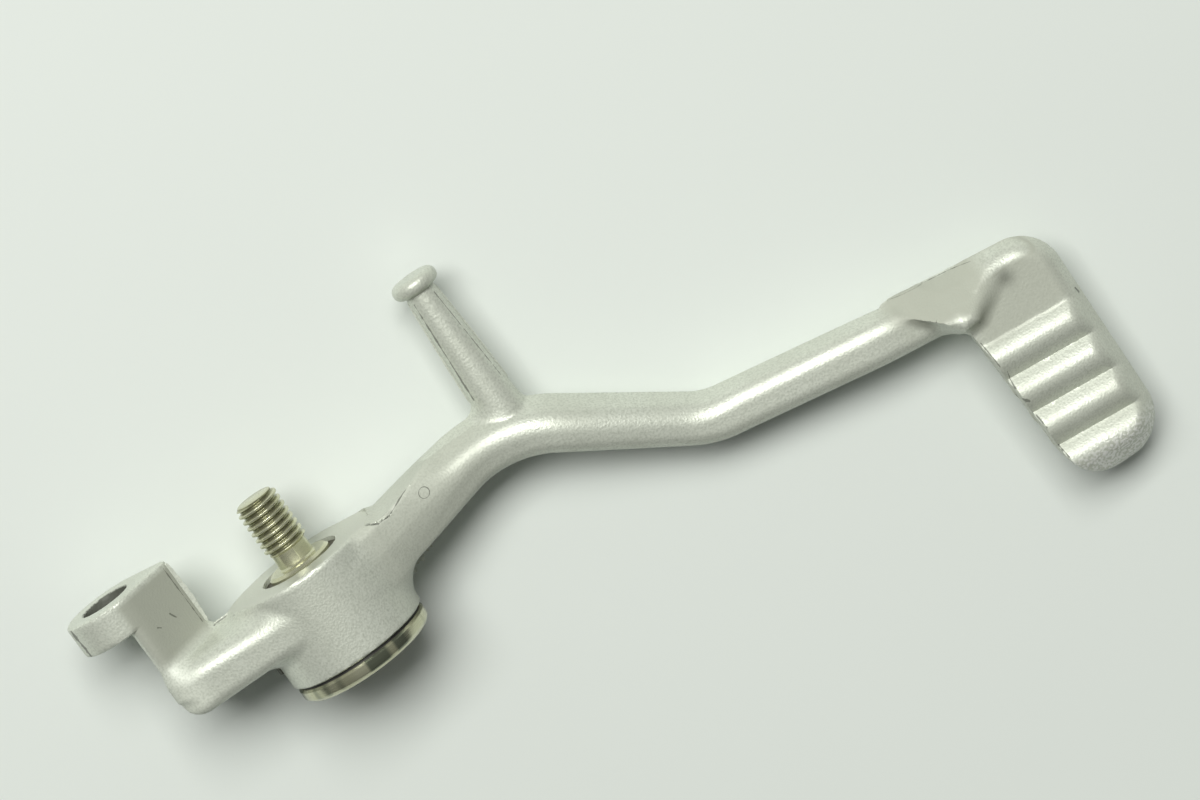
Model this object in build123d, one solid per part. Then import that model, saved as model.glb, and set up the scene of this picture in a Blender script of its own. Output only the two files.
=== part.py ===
"""Rear brake pedal of a motorbike: a cast lever on its own pivot bolt, in millimetres.

The origin lies on the pivot axis at the bolt's seat, the shoulder that meets the motorbike.
+Y runs along the bolt towards its thread, +X forward to the foot pad, and +Z is up.
"""
import os
from math import atan2, cos, degrees, radians, sin, tan

from build123d import *

# Pivot boss of the lever
BOSS_RADIUS = 13.2
BOSS_LENGTH = 17.5
BOSS_SET_BACK = 0.5
BOSS_EDGE_ROUND = 0.6
BOSS_ARM_ROUND = 4.0
BORE_RADIUS = 7.5
BORE_CHAMFER = 0.35
BORE_TOLERANCE = 0.001

# Bushes pressed into the boss, one from each end
BUSH_LENGTH = 7.0
BUSH_RECESS = 0.8

# Pivot bolt
JOURNAL_RADIUS = 6.0
RUNNING_CLEARANCE = 0.03
JOURNAL_CHAMFER = 0.5
NECK_RADIUS = 3.45
NECK_LENGTH = 3.2
THREAD_RADIUS = 4.0
THREAD_LENGTH = 10.0
THREAD_CHAMFER = 0.9
HEAD_INSET = 0.3
HEAD_THICKNESS = 2.8
HEAD_INNER_CHAMFER = 0.35
HEAD_OUTER_CHAMFER = 0.9
SOCKET_ACROSS_FLATS = 8.0
SOCKET_DEPTH = 5.0

# Thrust washer between the boss and the bolt's head
WASHER_THICKNESS = 0.5
WASHER_INSET = 0.6
WASHER_BORE_CLEARANCE = 0.2
WASHER_END_PLAY = 0.05

# Main arm in plan: it leaves the boss, turns at the spring post and again at the knee
ARM_ROOT_X = 3.0
ARM_ROOT_SET_BACK = 2.7
POST_BEND_X = 41.7
POST_BEND_Y = -0.9
POST_BEND_ROUND = 24.0
KNEE_X = 71.9
KNEE_Y = -21.3
KNEE_ROUND = 16.0
ARM_END_X = 116.0
ARM_END_Y = -28.2
# Main arm from the side: the height of its middle at the same four points
ARM_ROOT_Z = 0.0
POST_BEND_Z = -3.5
KNEE_Z = -5.0
ARM_END_Z = -1.8
# Section of the main arm at the same four points, and where it swells into the boss
ARM_ROOT_WIDTH = 11.4
ARM_ROOT_INSET = 1.2
ARM_FLARE_LENGTH = 19.0
ARM_FLARE_HEIGHT = 15.6
POST_BEND_WIDTH = 10.3
POST_BEND_HEIGHT = 13.0
KNEE_WIDTH = 9.5
KNEE_HEIGHT = 11.6
ARM_END_WIDTH = 10.0
ARM_END_HEIGHT = 8.4
ARM_CORNER = 3.8
ARM_END_ROUND = 2.0

# Gusset where the main arm meets the foot pad: its face climbs from the inner side to a round crest
GUSSET_REAR_X = 107.0
GUSSET_REAR_Y = -22.0
GUSSET_FRONT_X = 127.4
GUSSET_FRONT_INNER_Y = -25.4
GUSSET_FRONT_OUTER_Y = -27.6
GUSSET_CREST_FRONT_X = 119.6
GUSSET_CREST_REAR_X = 113.2
GUSSET_OUTER_Y = -33.0
GUSSET_LOW_Z = 0.6
GUSSET_HIGH_Z = 7.6
GUSSET_ROUND = 1.6

# Spring post on the inner side of the main arm
POST_X = 43.4
POST_TIP_Y = 28.5
POST_BASE_RADIUS = 4.2
POST_NECK_RADIUS = 2.75
POST_HEAD_RADIUS = 3.95
POST_HEAD_THICKNESS = 3.3
POST_HEAD_ROUND = 1.6
POST_UNDER_ROUND = 0.7
POST_FILLET = 2.2

# Foot pad: a plate whose sides lean in above and below the parting line of the mould
PAD_FRONT_X = 137.3
PAD_REAR_INNER_X = 116.2
PAD_REAR_OUTER_X = 119.2
PAD_INNER_Y = -22.8
PAD_INNER_FRONT_Y = -25.4
PAD_OUTER_Y = -69.6
PAD_INNER_ROUND = 7.0
PAD_OUTER_ROUND = 8.4
PAD_FLOOR_Z = 3.0
PAD_RISE = 3.4
PAD_DROP = 1.2
PAD_DRAFT = 31.0
PAD_UNDER_DRAFT = 12.0
PAD_EDGE_ROUND = 1.1
PAD_UNDER_ROUND = 0.6
# Half-round ribs across the pad, with sloping front ends
RIB_COUNT = 4
RIB_FIRST_Y = -38.2
RIB_PITCH = 7.3
RIB_YAW = -5.5
RIB_HEIGHT = 2.1
RIB_VALLEY = 0.25
RIB_END_INSET = 2.3
RIB_END_SLOPE = 40.0

# Rear arm, its step and the eye for the brake rod
REAR_INNER_Y = -1.0
REAR_OUTER_Y = -13.0
REAR_DRAFT = 11.0
REAR_ROOT_RADIUS = 12.6
REAR_END_X = -30.0
REAR_RIDGE_ROUND = 3.0
REAR_END_ROUND = 2.4
STEP_REAR_X = -29.6
STEP_FRONT_X = -18.6
STEP_TIP_RADIUS = 1.3
STEP_BEVEL = 1.2
EYE_X = -30.8
EYE_RADIUS = 8.0
EYE_HOLE_RADIUS = 4.4
EYE_INNER_Y = 13.2
EYE_THICKNESS = 6.2
EYE_EDGE_ROUND = 0.7

# Stop pin in the rear arm, beside the boss
PIN_RADIUS = 1.5
PIN_X = -13.2
PIN_Z = -7.3
PIN_PROUD = 3.3
PIN_SEAT_DEPTH = 7.0

BOSS_INNER_Y = -BOSS_SET_BACK
BOSS_OUTER_Y = BOSS_INNER_Y - BOSS_LENGTH
HEAD_RADIUS = BOSS_RADIUS - HEAD_INSET
WASHER_RADIUS = HEAD_RADIUS - WASHER_INSET
ARM_ROOT_Y = BOSS_INNER_Y - ARM_ROOT_SET_BACK - ARM_ROOT_WIDTH / 2
ARM_ROOT_HEIGHT = 2 * (BOSS_RADIUS - ARM_ROOT_INSET)
EYE_OUTER_Y = EYE_INNER_Y - EYE_THICKNESS
HEAD_INNER_Y = BOSS_OUTER_Y - WASHER_END_PLAY - WASHER_THICKNESS
HEAD_OUTER_Y = HEAD_INNER_Y - HEAD_THICKNESS
ALONG_AXIS = (0, 1, 0)


def plane_across_axis(y):
    """Plane square to the pivot axis at y: its sketch axes are X and Z, and it faces +Y."""
    return Plane(origin=(0, y, 0), x_dir=(-1, 0, 0), z_dir=ALONG_AXIS)


def at_xz(x, z):
    """Place in a plane across the axis, whose own x runs against the model's X."""
    return Pos(-x, z)


def prism(sketch, y_from, y_to):
    """Solid of a sketch on the axis plane, carried along the pivot axis between two places."""
    return extrude(plane_across_axis(y_from) * sketch, y_to - y_from)


def turned(profile):
    """Solid of revolution about the pivot axis from (radius, y) corners."""
    return revolve(make_face(Polyline(*profile, close=True)), Axis.Y)


def arm_section(x, y, z, yaw, width, height):
    """Rounded section of the main arm, square to its run, which is turned by yaw in plan."""
    run = (cos(radians(yaw)), sin(radians(yaw)), 0)
    across = (-sin(radians(yaw)), cos(radians(yaw)), 0)
    plane = Plane(origin=(x, y, z), x_dir=across, z_dir=run)
    return plane * RectangleRounded(width, height, ARM_CORNER)


def arm_points():
    """Corner points of the main arm: x, y, z, width and height."""
    return [
        (ARM_ROOT_X, ARM_ROOT_Y, ARM_ROOT_Z, ARM_ROOT_WIDTH, ARM_ROOT_HEIGHT),
        (POST_BEND_X, POST_BEND_Y, POST_BEND_Z, POST_BEND_WIDTH, POST_BEND_HEIGHT),
        (KNEE_X, KNEE_Y, KNEE_Z, KNEE_WIDTH, KNEE_HEIGHT),
        (ARM_END_X, ARM_END_Y, ARM_END_Z, ARM_END_WIDTH, ARM_END_HEIGHT),
    ]


def bend(corner, yaw_in, yaw_out, radius):
    """Round bend of a constant section in plan, with its entry and exit points."""
    x, y, z, width, height = corner
    turn = yaw_out - yaw_in
    tangent = radius * tan(radians(abs(turn) / 2))
    entry = (x - tangent * cos(radians(yaw_in)), y - tangent * sin(radians(yaw_in)))
    leave = (x + tangent * cos(radians(yaw_out)), y + tangent * sin(radians(yaw_out)))
    side = 1 if turn > 0 else -1
    centre = (entry[0] - side * radius * sin(radians(yaw_in)), entry[1] + side * radius * cos(radians(yaw_in)))
    section = arm_section(*entry, z, yaw_in, width, height)
    solid = revolve(section, Axis((*centre, 0), (0, 0, side)), revolution_arc=abs(turn))
    return solid, (*entry, z, width, height), (*leave, z, width, height)


def straight_run(start, end, yaw):
    """Ruled loft between the sections at the two ends of a straight stretch."""
    return loft([arm_section(*p[:3], yaw, *p[3:]) for p in (start, end)], ruled=True)


def main_arm():
    """Three straight runs, two round bends, a root that swells into the boss and a rounded end."""
    root, post, knee, end = arm_points()
    yaws = [degrees(atan2(b[1] - a[1], b[0] - a[0])) for a, b in zip(arm_points(), arm_points()[1:])]
    post_bend, post_in, post_out = bend(post, yaws[0], yaws[1], POST_BEND_ROUND)
    knee_bend, knee_in, knee_out = bend(knee, yaws[1], yaws[2], KNEE_ROUND)
    flare = (
        root[0] + ARM_FLARE_LENGTH * cos(radians(yaws[0])),
        root[1] + ARM_FLARE_LENGTH * sin(radians(yaws[0])),
        root[2] + (post[2] - root[2]) * ARM_FLARE_LENGTH / (post[0] - root[0]),
        (root[3] + post[3]) / 2,
        ARM_FLARE_HEIGHT,
    )
    swell = [root, flare, post_in]
    arm = loft([arm_section(*p[:3], yaws[0], *p[3:]) for p in swell])
    arm += post_bend
    arm += straight_run(post_out, knee_in, yaws[1])
    arm += knee_bend
    last_run = straight_run(knee_out, end, yaws[2])
    arm += fillet(last_run.faces().sort_by(Axis.X)[-1].edges(), ARM_END_ROUND)
    return arm


def gusset():
    """Wedge that ties the arm to the pad: one sloping face, with a rounded crest on its outer side."""
    plan = make_face(Polyline(
        (GUSSET_REAR_X, GUSSET_REAR_Y),
        (GUSSET_FRONT_X, GUSSET_FRONT_INNER_Y),
        (GUSSET_FRONT_X, GUSSET_FRONT_OUTER_Y),
        (GUSSET_CREST_FRONT_X, GUSSET_OUTER_Y),
        (GUSSET_CREST_REAR_X, GUSSET_OUTER_Y),
        close=True,
    ))
    base_z = PAD_FLOOR_Z - PAD_RISE
    block = extrude(Pos(0, 0, base_z) * plan, 2 * GUSSET_HIGH_Z)
    side = make_face(Polyline(
        (GUSSET_REAR_Y, base_z),
        (GUSSET_REAR_Y, GUSSET_LOW_Z),
        (GUSSET_OUTER_Y, GUSSET_HIGH_Z),
        (GUSSET_OUTER_Y, base_z),
        close=True,
    ))
    slope = extrude(Pos(GUSSET_REAR_X, 0, 0) * (Plane.YZ * side), GUSSET_FRONT_X - GUSSET_REAR_X)
    wedge = block & slope
    crest = wedge.faces().sort_by(Axis.Z)[-1].edges().sort_by(Axis.Y)[:2]
    return fillet(crest, GUSSET_ROUND)


def boss():
    """Round boss on the pivot axis with a softened outer rim."""
    solid = prism(Circle(BOSS_RADIUS), BOSS_OUTER_Y, BOSS_INNER_Y)
    return fillet(solid.edges().group_by(Axis.Y)[0], BOSS_EDGE_ROUND)


def spring_post():
    """Tapered post with a mushroom head, turned about its own axis."""
    neck_y = POST_TIP_Y - POST_HEAD_THICKNESS
    profile = make_face(Polyline(
        (0, POST_BEND_Y),
        (POST_BASE_RADIUS, POST_BEND_Y),
        (POST_NECK_RADIUS, neck_y),
        (POST_HEAD_RADIUS, neck_y),
        (POST_HEAD_RADIUS, POST_TIP_Y),
        (0, POST_TIP_Y),
        close=True,
    ))
    profile = round_corner(profile, POST_HEAD_RADIUS, POST_TIP_Y, POST_HEAD_ROUND)
    profile = round_corner(profile, POST_HEAD_RADIUS, neck_y, POST_UNDER_ROUND)
    return Pos(POST_X, 0, POST_BEND_Z) * revolve(profile, Axis.Y)


def round_corner(profile, x, y, radius):
    """Profile with its corner at (x, y) rounded."""
    corner = profile.vertices().sort_by_distance((x, y, 0))[0]
    return fillet(corner, radius)


def blended(first, second, radius):
    """Two solids joined, with a fillet of the radius all along their meeting line."""
    joined = first + second
    return fillet(new_edges(first, second, combined=joined), radius)


def pad_outline(run_out=0.0):
    """Foot pad in plan: straight front, slightly tapered rear, round corners; the rear may run out further."""
    inner_slope = (PAD_INNER_Y - PAD_INNER_FRONT_Y) / (PAD_FRONT_X - PAD_REAR_INNER_X)
    corners = Polyline(
        (PAD_REAR_INNER_X - run_out, PAD_INNER_Y + run_out * inner_slope),
        (PAD_REAR_OUTER_X - run_out, PAD_OUTER_Y),
        (PAD_FRONT_X, PAD_OUTER_Y),
        (PAD_FRONT_X, PAD_INNER_FRONT_Y),
        close=True,
    )
    face = make_face(corners)
    face = fillet(face.vertices().group_by(Axis.Y)[0], PAD_OUTER_ROUND)
    return round_corner(face, PAD_FRONT_X, PAD_INNER_FRONT_Y, PAD_INNER_ROUND)


def pad():
    """Plate with leaning, rounded sides and a plain cut rear edge, and ribs across its floor."""
    parting_z = PAD_FLOOR_Z - PAD_RISE
    run_out = PAD_OUTER_ROUND + PAD_RISE
    wide = Pos(0, 0, parting_z) * pad_outline(run_out)
    above = extrude(wide, PAD_RISE, taper=PAD_DRAFT)
    above = fillet(above.edges().group_by(Axis.Z)[-1], PAD_EDGE_ROUND)
    under = extrude(wide, PAD_DROP, dir=(0, 0, -1), taper=PAD_UNDER_DRAFT)
    under = fillet(under.edges().group_by(Axis.Z)[0], PAD_UNDER_ROUND)
    trim = extrude(Pos(0, 0, parting_z - PAD_DROP) * pad_outline(), PAD_DROP + PAD_RISE + RIB_HEIGHT)
    inside = offset(pad_outline(2 * run_out), -RIB_END_INSET)
    floor = inside + Pos(0, 2 * RIB_END_INSET, 0) * inside
    return trim & (above + under + ribs(Pos(0, 0, PAD_FLOOR_Z) * floor))


def ribs(floor):
    """Row of half-round ribs, cut to the floor and sloping down at their front ends."""
    run = (cos(radians(RIB_YAW)), sin(radians(RIB_YAW)), 0)
    outwards = (run[1], -run[0], 0)
    length = 2 * (PAD_FRONT_X - PAD_REAR_INNER_X)
    foot = Polyline((0, RIB_VALLEY), (0, -RIB_HEIGHT), (RIB_PITCH, -RIB_HEIGHT), (RIB_PITCH, RIB_VALLEY))
    crown = ThreePointArc((0, RIB_VALLEY), (RIB_PITCH / 2, RIB_HEIGHT), (RIB_PITCH, RIB_VALLEY))
    section = make_face([*foot.edges(), *crown.edges()])
    start = Vector(PAD_FRONT_X - length / 4, RIB_FIRST_Y, PAD_FLOOR_Z) + Vector(run) * (length / 2)
    made = []
    for i in range(RIB_COUNT):
        place = Plane(start + Vector(outwards) * (i * RIB_PITCH), outwards, -Vector(run))
        made.append(extrude(place * section, length))
    window = extrude(floor, RIB_HEIGHT, taper=RIB_END_SLOPE)
    return window & (made[0] + made[1:])


def rear_arm():
    """Arm behind the boss with rounded ridges, the step that carries it inwards, and the eye."""
    hull = make_hull(Circle(REAR_ROOT_RADIUS).edges() + (at_xz(EYE_X, 0) * Circle(EYE_RADIUS)).edges())
    arm = prism(hull, REAR_OUTER_Y, REAR_INNER_Y)
    tall = 2 * REAR_ROOT_RADIUS
    lean = tall * tan(radians(REAR_DRAFT))
    half = [(REAR_OUTER_Y, 0), (REAR_OUTER_Y + lean, tall), (REAR_INNER_Y - lean, tall), (REAR_INNER_Y, 0)]
    flanks = Plane.YZ * make_face(Polyline(*half, close=True))
    flanks += Plane.YZ * make_face(Polyline(*[(y, -z) for y, z in half], close=True))
    arm &= Pos(REAR_END_X, 0, 0) * extrude(flanks, -REAR_END_X)
    top_faces = arm.faces().filter_by(GeomType.PLANE).filter_by(lambda f: abs(f.normal_at().Z) > cos(radians(45)))
    ridges = [e for f in top_faces for e in f.edges() if abs(e.tangent_at(0).X) > cos(radians(45))]
    arm = fillet(ridges, REAR_RIDGE_ROUND)
    arm = fillet(arm.edges().group_by(Axis.X)[0], REAR_END_ROUND)
    return arm + step_and_eye()


def step_and_eye():
    """Teardrop that narrows forwards from the round eye; behind the eye it is cut off and bevelled."""
    eye = at_xz(EYE_X, 0) * Circle(EYE_RADIUS)
    tip = at_xz(STEP_FRONT_X - STEP_TIP_RADIUS, 0) * Circle(STEP_TIP_RADIUS)
    teardrop = make_hull(eye.edges() + tip.edges())
    behind = at_xz(STEP_REAR_X - EYE_RADIUS, 0) * Rectangle(2 * EYE_RADIUS, 3 * EYE_RADIUS)
    section = teardrop - behind
    section = chamfer(section.vertices().group_by(Axis.X)[-1], STEP_BEVEL)
    plate = prism(teardrop, EYE_OUTER_Y, EYE_INNER_Y)
    plate = fillet(plate.edges().group_by(Axis.Y)[-1], EYE_EDGE_ROUND)
    return plate + prism(section, (REAR_OUTER_Y + REAR_INNER_Y) / 2, EYE_OUTER_Y)


def pedal_lever():
    """The whole casting with its machined bore, eye hole and pin seat."""
    lever = blended(main_arm(), spring_post(), POST_FILLET)
    lever = blended(lever, boss(), BOSS_ARM_ROUND)
    lever += gusset() + pad() + rear_arm()
    lever -= prism(Circle(BORE_RADIUS), BOSS_OUTER_Y, BOSS_INNER_Y)
    mouths = [e for e in lever.edges().filter_by(GeomType.CIRCLE) if abs(e.radius - BORE_RADIUS) < BORE_TOLERANCE]
    lever = chamfer(mouths, BORE_CHAMFER)
    lever -= prism(at_xz(EYE_X, 0) * Circle(EYE_HOLE_RADIUS), EYE_OUTER_Y, EYE_INNER_Y)
    lever -= prism(at_xz(PIN_X, PIN_Z) * Circle(PIN_RADIUS), REAR_OUTER_Y, REAR_OUTER_Y + PIN_SEAT_DEPTH)
    return lever


def bush():
    """Plain sleeve between the bore and the bolt's journal."""
    return prism(Circle(BORE_RADIUS) - Circle(JOURNAL_RADIUS + RUNNING_CLEARANCE), 0, BUSH_LENGTH)


def pivot_bolt():
    """Turned bolt: wide head with a hexagon socket, journal, neck and thread."""
    thread_y = NECK_LENGTH
    end_y = NECK_LENGTH + THREAD_LENGTH
    bolt = turned([
        (0, HEAD_OUTER_Y),
        (HEAD_RADIUS - HEAD_OUTER_CHAMFER, HEAD_OUTER_Y),
        (HEAD_RADIUS, HEAD_OUTER_Y + HEAD_OUTER_CHAMFER),
        (HEAD_RADIUS, HEAD_INNER_Y - HEAD_INNER_CHAMFER),
        (HEAD_RADIUS - HEAD_INNER_CHAMFER, HEAD_INNER_Y),
        (JOURNAL_RADIUS, HEAD_INNER_Y),
        (JOURNAL_RADIUS, -JOURNAL_CHAMFER),
        (JOURNAL_RADIUS - JOURNAL_CHAMFER, 0),
        (NECK_RADIUS, 0),
        (NECK_RADIUS, thread_y),
        (THREAD_RADIUS, thread_y),
        (THREAD_RADIUS, end_y - THREAD_CHAMFER),
        (THREAD_RADIUS - THREAD_CHAMFER, end_y),
        (0, end_y),
    ])
    socket = RegularPolygon(SOCKET_ACROSS_FLATS / 2, 6, major_radius=False)
    return bolt - prism(socket, HEAD_OUTER_Y, HEAD_OUTER_Y + SOCKET_DEPTH)


def thrust_washer():
    """Thin ring on the journal, against the bolt's head."""
    ring = Circle(WASHER_RADIUS) - Circle(JOURNAL_RADIUS + WASHER_BORE_CLEARANCE)
    return prism(ring, HEAD_INNER_Y, HEAD_INNER_Y + WASHER_THICKNESS)


def stop_pin():
    """Round pin driven into the outer side of the rear arm."""
    return prism(at_xz(PIN_X, PIN_Z) * Circle(PIN_RADIUS), REAR_OUTER_Y - PIN_PROUD,
                 REAR_OUTER_Y + PIN_SEAT_DEPTH)


def main():
    pieces = {
        "pedal_lever": pedal_lever(),
        "inner_bush": Pos(0, BOSS_INNER_Y - BUSH_RECESS - BUSH_LENGTH, 0) * bush(),
        "outer_bush": Pos(0, BOSS_OUTER_Y + BUSH_RECESS, 0) * bush(),
        "stop_pin": stop_pin(),
        "pivot_bolt": pivot_bolt(),
        "thrust_washer": thrust_washer(),
    }
    os.makedirs("parts", exist_ok=True)
    for name, solid in pieces.items():
        export_step(solid, f"parts/{name}.step")


main()
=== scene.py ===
# %% [markdown]
# Rear brake pedal of a motorbike. The lever is one aluminium casting, painted silver, which swings on a
# zinc plated bolt that runs in two bushes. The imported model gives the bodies, sizes and places, and this
# file only dresses it. The origin is on the pivot axis at the bolt's seat, +Y runs to the thread, +X to
# the foot pad and +Z up.

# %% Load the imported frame
from math import copysign, cos, hypot, inf, pi, radians, sin, sqrt, tan

import bpy
import numpy as np
from mathutils import Matrix, Vector


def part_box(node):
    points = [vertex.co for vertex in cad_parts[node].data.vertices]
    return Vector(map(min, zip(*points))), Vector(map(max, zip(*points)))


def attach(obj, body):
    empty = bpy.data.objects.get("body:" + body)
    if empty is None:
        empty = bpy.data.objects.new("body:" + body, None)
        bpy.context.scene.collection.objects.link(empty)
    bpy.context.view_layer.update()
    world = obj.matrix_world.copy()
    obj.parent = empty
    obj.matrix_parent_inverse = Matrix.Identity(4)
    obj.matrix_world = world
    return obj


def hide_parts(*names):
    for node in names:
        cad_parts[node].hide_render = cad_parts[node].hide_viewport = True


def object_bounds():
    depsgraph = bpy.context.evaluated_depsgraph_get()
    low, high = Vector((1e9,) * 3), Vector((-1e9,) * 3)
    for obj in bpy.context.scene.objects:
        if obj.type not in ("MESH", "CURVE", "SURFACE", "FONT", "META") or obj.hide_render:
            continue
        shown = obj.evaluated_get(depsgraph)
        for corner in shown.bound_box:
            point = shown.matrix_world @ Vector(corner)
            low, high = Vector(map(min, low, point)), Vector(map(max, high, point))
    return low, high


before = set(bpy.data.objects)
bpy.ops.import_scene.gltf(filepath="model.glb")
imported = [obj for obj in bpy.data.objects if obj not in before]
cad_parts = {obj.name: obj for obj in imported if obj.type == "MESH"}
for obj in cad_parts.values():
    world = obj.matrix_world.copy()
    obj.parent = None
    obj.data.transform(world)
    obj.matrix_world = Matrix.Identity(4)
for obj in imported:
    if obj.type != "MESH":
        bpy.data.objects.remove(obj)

MM = 0.001
cad_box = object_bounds()
BOX_LOW, BOX_HIGH = (np.array([c / MM for c in corner]) for corner in cad_box)

# %% [markdown]
# The camera looks almost straight down through a long lens. It could be placed by hand, but three facts of
# the picture fix it: the direction of the pivot axis on the page, how far that axis leans to the viewer,
# and the place and scale of the bolt's seat.

# %% Camera
PICTURE_WIDTH = 1200
PICTURE_HEIGHT = 800
LENS = 120.0
SENSOR = 36.0
CLIP_START = 0.01
PIXELS_PER_MM = 5.85
SEAT_PIXEL = (297.4, 559.6)
AXIS_ON_PAGE = (-0.571, 0.821)
AXIS_LEAN = 0.195


def add_object(name, data):
    """Object with its data, linked into the scene."""
    thing = bpy.data.objects.new(name, data)
    bpy.context.scene.collection.objects.link(thing)
    return thing


def camera_axes():
    """Camera axes as columns: own Y leans to the camera, own X lies flat on the page, Z is their cross."""
    flat = sqrt(1 - AXIS_LEAN**2)
    right, up = np.array(AXIS_ON_PAGE) / hypot(*AXIS_ON_PAGE)
    own_y = np.array([right * flat, up * flat, AXIS_LEAN])
    own_x = np.array([up, -right, 0.0])
    return np.stack([own_x, own_y, np.cross(own_x, own_y)])


def make_camera():
    """Camera whose distance gives the stated scale at the bolt's seat."""
    distance = PICTURE_WIDTH * LENS / SENSOR / PIXELS_PER_MM
    seat_right = (SEAT_PIXEL[0] - PICTURE_WIDTH / 2) / PIXELS_PER_MM
    seat_up = (PICTURE_HEIGHT / 2 - SEAT_PIXEL[1]) / PIXELS_PER_MM
    axes = camera_axes()
    place = axes @ np.array([-seat_right, -seat_up, distance]) * MM
    data = bpy.data.cameras.new("camera")
    data.lens = LENS
    data.sensor_width = SENSOR
    data.clip_start = CLIP_START
    camera = add_object("camera", data)
    camera.matrix_world = Matrix([[*axes[i], place[i]] for i in range(3)] + [[0, 0, 0, 1]])
    bpy.context.scene.camera = camera
    return camera


camera = make_camera()
print("camera at", [round(v, 4) for v in camera.matrix_world.translation])

# %% [markdown]
# Node trees take many lines by hand, so small helpers add a node and give its result, or open a group and
# place it. Values that are the same all over a surface go straight into the shader's own sockets.

# %% Helpers for node trees
NUMBER_RESULTS = ("DOT_PRODUCT", "DISTANCE", "LENGTH")


def add_node(tree, kind, inputs=None, **settings):
    """Node of the kind, with settings on it and values or links on its inputs."""
    node = tree.nodes.new(kind)
    for name, value in settings.items():
        setattr(node, name, value)
    for key, value in (inputs or {}).items():
        if isinstance(value, bpy.types.NodeSocket):
            tree.links.new(value, node.inputs[key])
        else:
            node.inputs[key].default_value = value
    return node


def maths(tree, operation, first, second=0.0, clamp=False):
    """Result socket of one Math node."""
    node = add_node(tree, "ShaderNodeMath", {0: first, 1: second}, operation=operation, use_clamp=clamp)
    return node.outputs[0]


def times(tree, first, second):
    """First value times the second."""
    return maths(tree, "MULTIPLY", first, second)


def largest(tree, best, *others):
    """Largest of several values."""
    for value in others:
        best = maths(tree, "MAXIMUM", best, value)
    return best


def vectors(tree, operation, first, second=(0, 0, 0)):
    """Result socket of one Vector Math node: a number where the operation gives one."""
    node = add_node(tree, "ShaderNodeVectorMath", {0: first, 1: second}, operation=operation)
    return node.outputs["Value" if operation in NUMBER_RESULTS else "Vector"]


def own_place(tree):
    """Place on the piece, in its own coordinates."""
    return add_node(tree, "ShaderNodeTexCoord").outputs["Object"]


def split(tree, vector):
    """X, Y and Z of a vector."""
    return tuple(add_node(tree, "ShaderNodeSeparateXYZ", {0: vector}).outputs)


def noise(tree, place, scale, detail, *limits):
    """Noise at the place, and where limits are given, that range of it spread from nought to one."""
    inputs = {"Vector": place, "Scale": scale, "Detail": detail}
    value = add_node(tree, "ShaderNodeTexNoise", inputs).outputs["Fac"]
    return span(tree, value, *limits) if limits else value


def blend(tree, share, first, second):
    """Colour socket that goes from first to second with the share."""
    mix = add_node(tree, "ShaderNodeMix", {0: share, 6: first, 7: second}, data_type="RGBA")
    return mix.outputs[2]


def span(tree, value, low, high, to_low=0.0, to_high=1.0):
    """Value mapped from one range to another and held at its ends."""
    return add_node(tree, "ShaderNodeMapRange", {0: value, 1: low, 2: high, 3: to_low, 4: to_high}).outputs[0]


def feed(tree, node, **values):
    """Values linked into the node's inputs of those names, with _ for a space."""
    for label, value in values.items():
        tree.links.new(value, node.inputs[label.replace("_", " ")])


def new_group(name, inputs, outputs):
    """Empty node group: inputs by name with their start values, and outputs that are numbers."""
    group = bpy.data.node_groups.new(name, "ShaderNodeTree")
    for label, value in inputs.items():
        kind = "NodeSocketVector" if isinstance(value, tuple) else "NodeSocketFloat"
        socket = group.interface.new_socket(label, in_out="INPUT", socket_type=kind)
        socket.default_value = value
    for label in outputs:
        group.interface.new_socket(label, in_out="OUTPUT", socket_type="NodeSocketFloat")
    return group, group.nodes.new("NodeGroupInput").outputs, group.nodes.new("NodeGroupOutput")


def place_group(tree, group, **inputs):
    """Results of a node group placed in a tree with its own values."""
    return add_node(tree, "ShaderNodeGroup", inputs, node_tree=group).outputs


def new_material(name, **sockets):
    """Material with a Principled shader whose constants are set on its sockets."""
    material = bpy.data.materials.new(name)
    material.use_nodes = True
    tree = material.node_tree
    shader = tree.nodes["Principled BSDF"]
    for label, value in sockets.items():
        shader.inputs[label.replace("_", " ")].default_value = value
    return material, tree, shader


print("node helpers ready")

# %% [markdown]
# The pedal lies on a plain pale table, which rises a little towards the knee of the arm. A soft lamp hangs
# high over the upper left of the picture, so the shadows fall to the lower right. The world adds a weaker
# light, dimmest from the lower right, and that darker side shapes the metal.

# %% Floor and light
FLOOR_SIZE = 20.0
FLOOR_SLOPE = 0.030
FLOOR_GAP = 0.00002
FLOOR_COLOUR = (0.765, 0.81, 0.77, 1)
FLOOR_MOTTLED = (0.745875, 0.78975, 0.75075, 1)
FLOOR_ROUGHNESS = 0.55
MOTTLE = (6.0, 3.0, 0.3, 0.7)
LAMP_AIM = (0.045, -0.02, 0.0)
KEY_PLACE = (-0.06, 1.00, 1.71)
KEY_SIZE = (1.6, 0.85)
KEY_WATTS = 41.5
KEY_COLOUR = (1.0, 1.0, 0.97)
BRIGHT_SIDE = (0.12, 0.66, 0.74)
BRIGHT_RANGE = (0.0, 0.9)
WORLD_LEVELS = (0.05, 0.22)
WORLD_COLOUR = (0.97, 1.0, 0.95, 1)


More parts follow.
